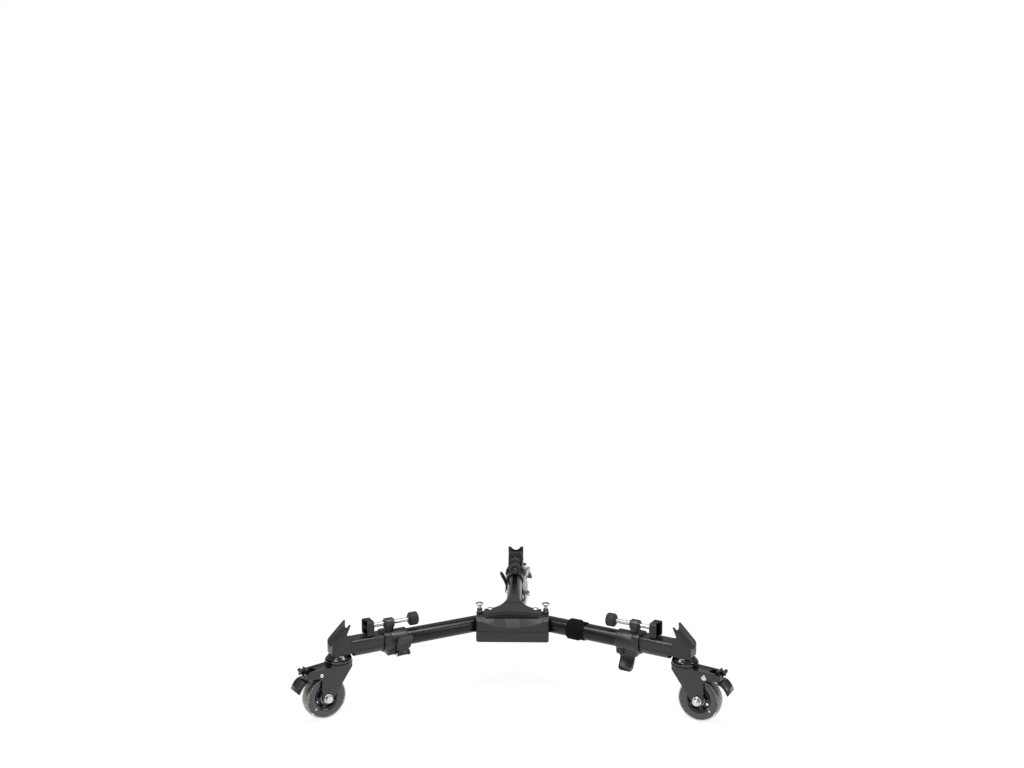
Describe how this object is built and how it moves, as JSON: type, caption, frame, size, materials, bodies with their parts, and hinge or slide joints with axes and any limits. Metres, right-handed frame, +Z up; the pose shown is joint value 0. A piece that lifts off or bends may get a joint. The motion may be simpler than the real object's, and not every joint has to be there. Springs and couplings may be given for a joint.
{
  "type": "tripod dolly",
  "caption": "Folding three-legged dolly for a camera tripod: hub with carry handle, telescoping legs, screw-driven foot clamps and braked swivel casters.",
  "frame": {"origin": "on the floor, under the centre of the dolly's bounding box", "axes": "+X along the longest extent, from the left front caster to the right front caster; +Y towards the rear leg, away from the carry handle; +Z up, the shortest extent"},
  "size_m": [0.7662, 0.677, 0.1602],
  "materials": {
    "black_nylon": "matte black glass-filled nylon",
    "anodised_tube": "glossy black anodised",
    "charcoal_section": "matte charcoal powder coat",
    "charcoal_casting": "matte charcoal powder coat on cast metal",
    "black_lever": "satin black moulding",
    "gloss_black_steel": "glossy black lacquer on pressed steel",
    "nickel_steel": "warm-tinted nickel plate",
    "zinc_steel": "bright zinc plate",
    "black_rubber": "matte black rubber",
    "smoke_tyre": "dark smoky polyurethane tread with a pale rim line",
    "wheel_core": "black spoked moulding",
    "hook_strap": "black hook-and-loop band"
  },
  "bodies": {
    "hub": {"hub_bottom": "black_nylon", "hub_top": "black_nylon", "rear_inner_tube": "anodised_tube", "left_pivot_bolt": "zinc_steel", "right_pivot_bolt": "zinc_steel", "left_plunger_barrel": "gloss_black_steel", "right_plunger_barrel": "gloss_black_steel"},
    "left_leg": {"left_inner_tube": "anodised_tube"},
    "right_leg": {"right_inner_tube": "anodised_tube", "strap": "hook_strap"},
    "left_section": {"left_outer_section": "charcoal_section", "left_lock_collar": "charcoal_casting", "left_lever_pin": "zinc_steel", "left_foot_post": "charcoal_casting", "left_end_block": "charcoal_casting", "left_swivel_race": "gloss_black_steel"},
    "left_lever": {"left_lock_lever": "black_lever"},
    "left_jaw": {"left_clamp_jaw": "black_rubber"},
    "left_screw": {"left_clamp_screw": "nickel_steel", "left_clamp_knob": "black_rubber"},
    "left_fork": {"left_caster_fork": "gloss_black_steel", "left_axle_bolt": "zinc_steel"},
    "left_pedal": {"left_brake_pedal": "gloss_black_steel"},
    "left_wheel": {"left_wheel_tyre": "smoke_tyre", "left_wheel_core": "wheel_core", "left_wheel_bearing": "zinc_steel"},
    "right_section": {"right_outer_section": "charcoal_section", "right_lock_collar": "charcoal_casting", "right_lever_pin": "zinc_steel", "right_foot_post": "charcoal_casting", "right_end_block": "charcoal_casting", "right_swivel_race": "gloss_black_steel"},
    "right_lever": {"right_lock_lever": "black_lever"},
    "right_jaw": {"right_clamp_jaw": "black_rubber"},
    "right_screw": {"right_clamp_screw": "nickel_steel", "right_clamp_knob": "black_rubber"},
    "right_fork": {"right_caster_fork": "gloss_black_steel", "right_axle_bolt": "zinc_steel"},
    "right_pedal": {"right_brake_pedal": "gloss_black_steel"},
    "right_wheel": {"right_wheel_tyre": "smoke_tyre", "right_wheel_core": "wheel_core", "right_wheel_bearing": "zinc_steel"},
    "rear_section": {"rear_outer_section": "charcoal_section", "rear_lock_collar": "charcoal_casting", "rear_lever_pin": "zinc_steel", "rear_foot_post": "charcoal_casting", "rear_end_block": "charcoal_casting", "rear_swivel_race": "gloss_black_steel"},
    "rear_lever": {"rear_lock_lever": "black_lever"},
    "rear_jaw": {"rear_clamp_jaw": "black_rubber"},
    "rear_screw": {"rear_clamp_screw": "nickel_steel", "rear_clamp_knob": "black_rubber"},
    "rear_fork": {"rear_caster_fork": "gloss_black_steel", "rear_axle_bolt": "zinc_steel"},
    "rear_pedal": {"rear_brake_pedal": "gloss_black_steel"},
    "rear_wheel": {"rear_wheel_tyre": "smoke_tyre", "rear_wheel_core": "wheel_core", "rear_wheel_bearing": "zinc_steel"},
    "left_plunger": {"left_plunger_pin": "nickel_steel"},
    "right_plunger": {"right_plunger_pin": "nickel_steel"}
  },
  "joints": [
    {"name": "left_leg_fold", "type": "hinge", "parent": "hub", "child": "left_leg", "pos_m": [-0.04582, -0.12298, 0.1151], "axis": [0, 0, -1], "range_deg": [0, 105]},
    {"name": "left_plunger_pull", "type": "slide", "parent": "hub", "child": "left_plunger", "axis": [0, 0, 1], "range_m": [-0.005, 0.004]},
    {"name": "right_leg_fold", "type": "hinge", "parent": "hub", "child": "right_leg", "pos_m": [0.04078, -0.12298, 0.1151], "axis": [0, 0, 1], "range_deg": [0, 105]},
    {"name": "right_plunger_pull", "type": "slide", "parent": "hub", "child": "right_plunger", "axis": [0, 0, 1], "range_m": [-0.005, 0.004]},
    {"name": "left_section_slide", "type": "slide", "parent": "left_leg", "child": "left_section", "axis": [-0.866, -0.5, 0], "range_m": [-0.03, 0.03]},
    {"name": "left_lever_flip", "type": "hinge", "parent": "left_section", "child": "left_lever", "pos_m": [-0.19762, -0.23026, 0.0926], "axis": [0.866, 0.5, 0], "range_deg": [0, 180]},
    {"name": "left_jaw_slide", "type": "slide", "parent": "left_section", "child": "left_jaw", "axis": [-0.866, -0.5, 0], "range_m": [-0.008, 0.024]},
    {"name": "left_screw_turn", "type": "hinge", "parent": "left_jaw", "child": "left_screw", "pos_m": [-0.18984, -0.20614, 0.1471], "axis": [-0.866, -0.5, 0], "range_deg": [-1450, 4330]},
    {"name": "left_caster_swivel", "type": "hinge", "parent": "left_section", "child": "left_fork", "pos_m": [-0.3065, -0.27348, 0.092], "axis": [0, 0, 1], "continuous": true},
    {"name": "left_pedal_tip", "type": "hinge", "parent": "left_fork", "child": "left_pedal", "pos_m": [-0.33794, -0.29805, 0.0816], "axis": [0.6157, -0.788, 0], "range_deg": [0, 9]},
    {"name": "left_wheel_roll", "type": "hinge", "parent": "left_fork", "child": "left_wheel", "pos_m": [-0.32935, -0.29134, 0.038], "axis": [0.6157, -0.788, 0], "continuous": true},
    {"name": "right_section_slide", "type": "slide", "parent": "right_leg", "child": "right_section", "axis": [0.866, -0.5, 0], "range_m": [-0.03, 0.03]},
    {"name": "right_lever_flip", "type": "hinge", "parent": "right_section", "child": "right_lever", "pos_m": [0.20958, -0.20081, 0.0926], "axis": [0.866, -0.5, 0], "range_deg": [0, 180]},
    {"name": "right_jaw_slide", "type": "slide", "parent": "right_section", "child": "right_jaw", "axis": [0.866, -0.5, 0], "range_m": [-0.008, 0.024]},
    {"name": "right_screw_turn", "type": "hinge", "parent": "right_jaw", "child": "right_screw", "pos_m": [0.1848, -0.20614, 0.1471], "axis": [0.866, -0.5, 0], "range_deg": [-1450, 4330]},
    {"name": "right_caster_swivel", "type": "hinge", "parent": "right_section", "child": "right_fork", "pos_m": [0.30145, -0.27348, 0.092], "axis": [0, 0, 1], "continuous": true},
    {"name": "right_pedal_tip", "type": "hinge", "parent": "right_fork", "child": "right_pedal", "pos_m": [0.33635, -0.29283, 0.0816], "axis": [0.4848, 0.8746, 0], "range_deg": [0, 9]},
    {"name": "right_wheel_roll", "type": "hinge", "parent": "right_fork", "child": "right_wheel", "pos_m": [0.32682, -0.28754, 0.038], "axis": [0.4848, 0.8746, 0], "continuous": true},
    {"name": "rear_section_slide", "type": "slide", "parent": "hub", "child": "rear_section", "axis": [0, 1, 0], "range_m": [-0.03, 0.03]},
    {"name": "rear_lever_flip", "type": "hinge", "parent": "rear_section", "child": "rear_lever", "pos_m": [-0.01952, 0.13711, 0.0926], "axis": [0, -1, 0], "range_deg": [0, 180]},
    {"name": "rear_jaw_slide", "type": "slide", "parent": "rear_section", "child": "rear_jaw", "axis": [0, 1, 0], "range_m": [-0.008, 0.024]},
    {"name": "rear_screw_turn", "type": "hinge", "parent": "rear_jaw", "child": "rear_screw", "pos_m": [-0.00252, 0.11832, 0.1471], "axis": [0, 1, 0], "range_deg": [-1450, 4330]},
    {"name": "rear_caster_swivel", "type": "hinge", "parent": "rear_section", "child": "rear_fork", "pos_m": [-0.00252, 0.25301, 0.092], "axis": [0, 0, 1], "continuous": true},
    {"name": "rear_pedal_tip", "type": "hinge", "parent": "rear_fork", "child": "rear_pedal", "pos_m": [0.00713, 0.29173, 0.0816], "axis": [-0.9703, 0.2419, 0], "range_deg": [0, 9]},
    {"name": "rear_wheel_roll", "type": "hinge", "parent": "rear_fork", "child": "rear_wheel", "pos_m": [0.00449, 0.28115, 0.038], "axis": [-0.9703, 0.2419, 0], "continuous": true}
  ],
  "couplings": [
    {"joint": "left_screw_turn", "follows": "left_jaw_slide", "rad_per_m": 3141.6},
    {"joint": "right_screw_turn", "follows": "right_jaw_slide", "rad_per_m": 3141.6},
    {"joint": "rear_screw_turn", "follows": "rear_jaw_slide", "rad_per_m": 3141.6}
  ]
}
